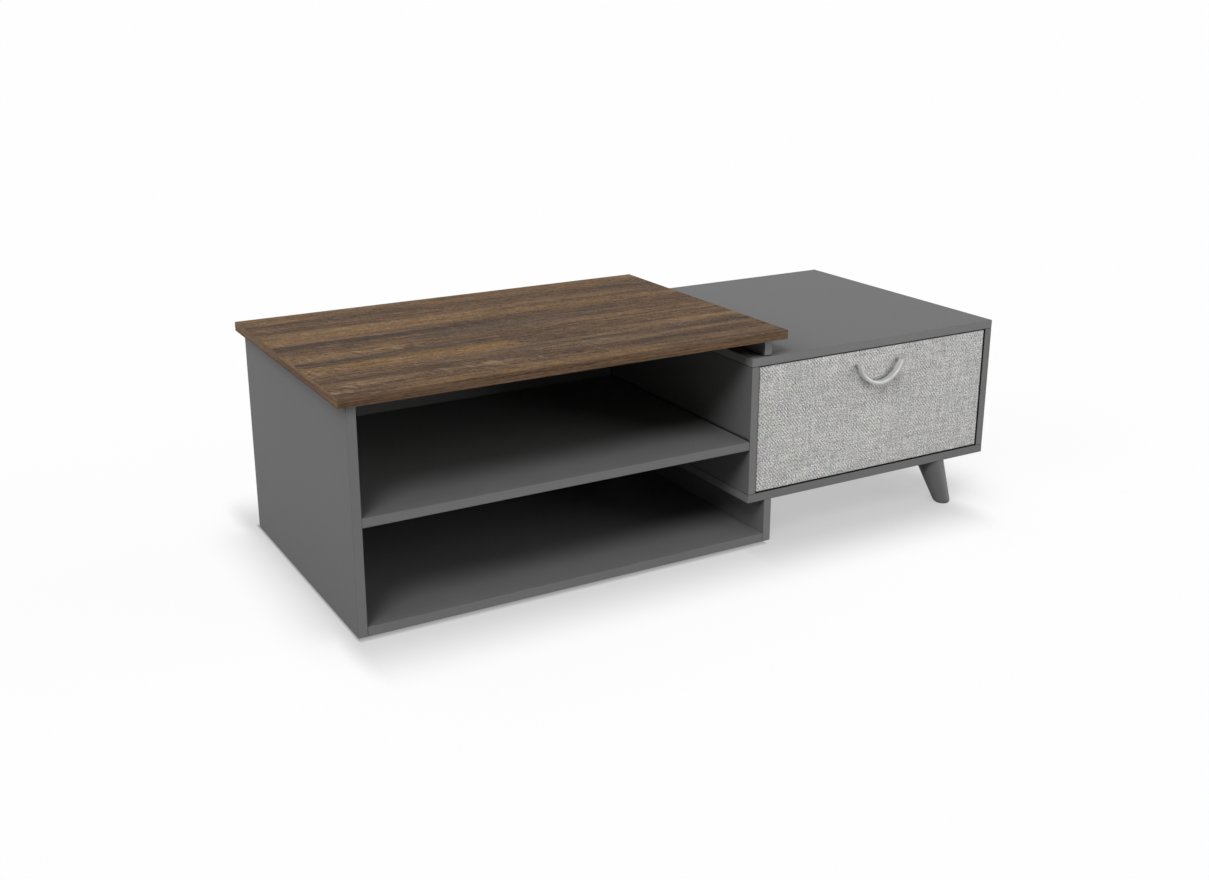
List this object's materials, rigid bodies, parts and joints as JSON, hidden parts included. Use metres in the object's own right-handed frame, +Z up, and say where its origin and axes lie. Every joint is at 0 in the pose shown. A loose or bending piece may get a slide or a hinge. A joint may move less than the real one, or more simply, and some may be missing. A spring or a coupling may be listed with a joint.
{
  "type": "side table",
  "caption": "Low two-part table: open cabinet with a shelf under a wood-look top, and a lower drawer box with a fabric-faced drawer, bow handle and splayed legs.",
  "frame": {"origin": "bottom centre of the whole table's box, on the floor", "axes": "+X to the right along the table's length, from the open cabinet to the drawer box; +Y to the back; +Z up; the drawer opens towards -Y"},
  "size_m": [1.505, 0.6866, 0.45],
  "materials": {
    "walnut_laminate": "satin walnut-look laminate, grain along the length",
    "grey_laminate": "matte dark grey laminate on board",
    "grey_painted_leg": "satin dark grey paint on turned wood",
    "linen_facing": "light grey slubby linen weave glued on the board",
    "pale_grey_board": "pale grey laminate on board",
    "pale_hardboard": "thin faced hardboard",
    "handle_grey": "satin light grey",
    "zinc_plated_steel": "bright zinc plate",
    "cast_zinc": "dull zinc casting"
  },
  "bodies": {
    "table": {"wood_top": "walnut_laminate", "wood_top_edge_band": "walnut_laminate", "left_side_panel": "grey_laminate", "bottom_panel": "grey_laminate", "middle_shelf": "grey_laminate", "lower_right_panel": "grey_laminate", "upper_back_panel": "grey_laminate", "lower_back_panel": "grey_laminate", "spacer_panel": "grey_laminate", "box_top_panel": "grey_laminate", "box_bottom_panel": "grey_laminate", "box_left_panel": "grey_laminate", "box_right_panel": "grey_laminate", "box_back_panel": "grey_laminate", "front_leg": "grey_painted_leg", "rear_leg": "grey_painted_leg", "wood_top_front_cam": "cast_zinc", "wood_top_rear_cam": "cast_zinc", "front_leg_bolt": "zinc_plated_steel", "rear_leg_bolt": "zinc_plated_steel", "front_spacer_screw": "zinc_plated_steel", "rear_spacer_screw": "zinc_plated_steel", "wood_top_front_cam_bolt": "zinc_plated_steel", "wood_top_rear_cam_bolt": "zinc_plated_steel", "left_slide_front_wall_screw": "zinc_plated_steel", "left_slide_rear_wall_screw": "zinc_plated_steel", "right_slide_front_wall_screw": "zinc_plated_steel", "right_slide_rear_wall_screw": "zinc_plated_steel", "left_slide_cabinet_member": "zinc_plated_steel", "right_slide_cabinet_member": "zinc_plated_steel"},
    "drawer": {"drawer_linen_facing": "linen_facing", "drawer_front_board": "pale_grey_board", "drawer_left_side": "pale_grey_board", "drawer_right_side": "pale_grey_board", "drawer_back": "pale_grey_board", "drawer_bottom": "pale_hardboard", "drawer_handle": "handle_grey", "drawer_left_cam": "cast_zinc", "drawer_right_cam": "cast_zinc", "handle_left_screw": "zinc_plated_steel", "handle_right_screw": "zinc_plated_steel", "drawer_left_cam_bolt": "zinc_plated_steel", "drawer_right_cam_bolt": "zinc_plated_steel", "drawer_back_left_lower_screw": "zinc_plated_steel", "drawer_back_right_lower_screw": "zinc_plated_steel", "drawer_back_left_upper_screw": "zinc_plated_steel", "drawer_back_right_upper_screw": "zinc_plated_steel", "left_slide_front_drawer_screw": "zinc_plated_steel", "left_slide_rear_drawer_screw": "zinc_plated_steel", "right_slide_front_drawer_screw": "zinc_plated_steel", "right_slide_rear_drawer_screw": "zinc_plated_steel", "left_slide_drawer_member": "zinc_plated_steel", "right_slide_drawer_member": "zinc_plated_steel"},
    "left_middle_member": {"left_slide_middle_member": "zinc_plated_steel"},
    "left_outer_cage": {"left_outer_ball_cage": "zinc_plated_steel"},
    "left_inner_cage": {"left_inner_ball_cage": "zinc_plated_steel"},
    "right_middle_member": {"right_slide_middle_member": "zinc_plated_steel"},
    "right_outer_cage": {"right_outer_ball_cage": "zinc_plated_steel"},
    "right_inner_cage": {"right_inner_ball_cage": "zinc_plated_steel"}
  },
  "joints": [
    {"name": "drawer_slide", "type": "slide", "parent": "table", "child": "drawer", "axis": [0, -1, 0], "range_m": [0, 0.449]},
    {"name": "left_middle_member_slide", "type": "slide", "parent": "table", "child": "left_middle_member", "axis": [0, -1, 0], "range_m": [0, 0.2246]},
    {"name": "left_outer_cage_slide", "type": "slide", "parent": "table", "child": "left_outer_cage", "axis": [0, -1, 0], "range_m": [0, 0.1123]},
    {"name": "left_inner_cage_slide", "type": "slide", "parent": "table", "child": "left_inner_cage", "axis": [0, -1, 0], "range_m": [0, 0.3368]},
    {"name": "right_middle_member_slide", "type": "slide", "parent": "table", "child": "right_middle_member", "axis": [0, -1, 0], "range_m": [0, 0.2246]},
    {"name": "right_outer_cage_slide", "type": "slide", "parent": "table", "child": "right_outer_cage", "axis": [0, -1, 0], "range_m": [0, 0.1123]},
    {"name": "right_inner_cage_slide", "type": "slide", "parent": "table", "child": "right_inner_cage", "axis": [0, -1, 0], "range_m": [0, 0.3368]}
  ],
  "couplings": [
    {"joint": "left_middle_member_slide", "follows": "drawer_slide", "ratio": 0.5},
    {"joint": "left_outer_cage_slide", "follows": "drawer_slide", "ratio": 0.25},
    {"joint": "left_inner_cage_slide", "follows": "drawer_slide", "ratio": 0.75},
    {"joint": "right_middle_member_slide", "follows": "drawer_slide", "ratio": 0.5},
    {"joint": "right_outer_cage_slide", "follows": "drawer_slide", "ratio": 0.25},
    {"joint": "right_inner_cage_slide", "follows": "drawer_slide", "ratio": 0.75}
  ]
}
